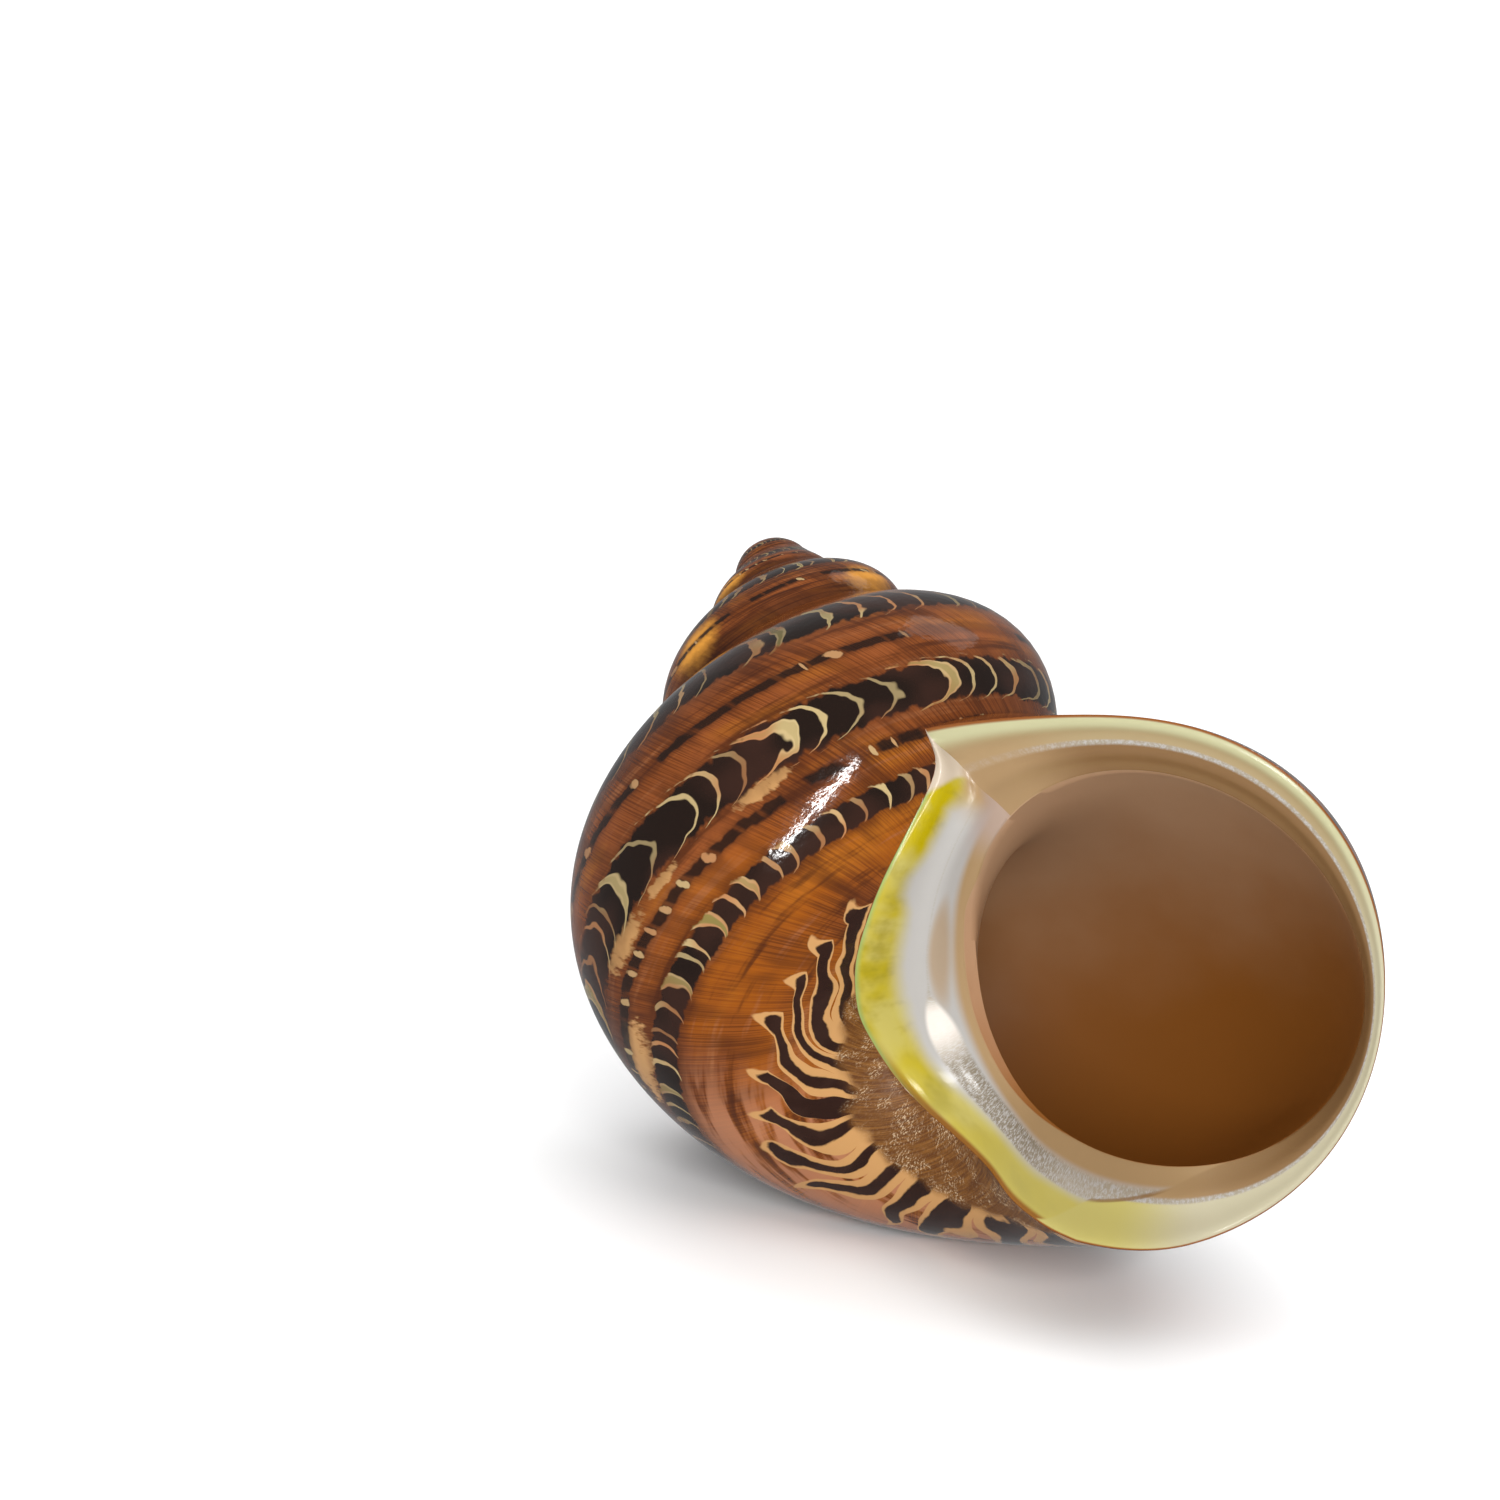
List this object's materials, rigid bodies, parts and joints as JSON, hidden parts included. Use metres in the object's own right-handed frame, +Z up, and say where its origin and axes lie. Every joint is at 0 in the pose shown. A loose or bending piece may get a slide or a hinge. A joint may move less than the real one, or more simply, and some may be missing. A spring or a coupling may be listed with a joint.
{
  "type": "turban shell",
  "caption": "Empty turban snail shell, a fat right-handed spiral with a round open mouth, resting on the side of its last whorl.",
  "frame": {"origin": "middle of the shell's box at the level it rests on", "axes": "+Z up, as the shell lies; the mouth faces -Y; the spire's tip points to -X, +Y and up; X runs across the mouth and the last whorl"},
  "size_m": [0.0546, 0.0366, 0.0438],
  "materials": {
    "shell": "polished"
  },
  "bodies": {
    "root": {"turban_shell": "shell"}
  },
  "joints": []
}
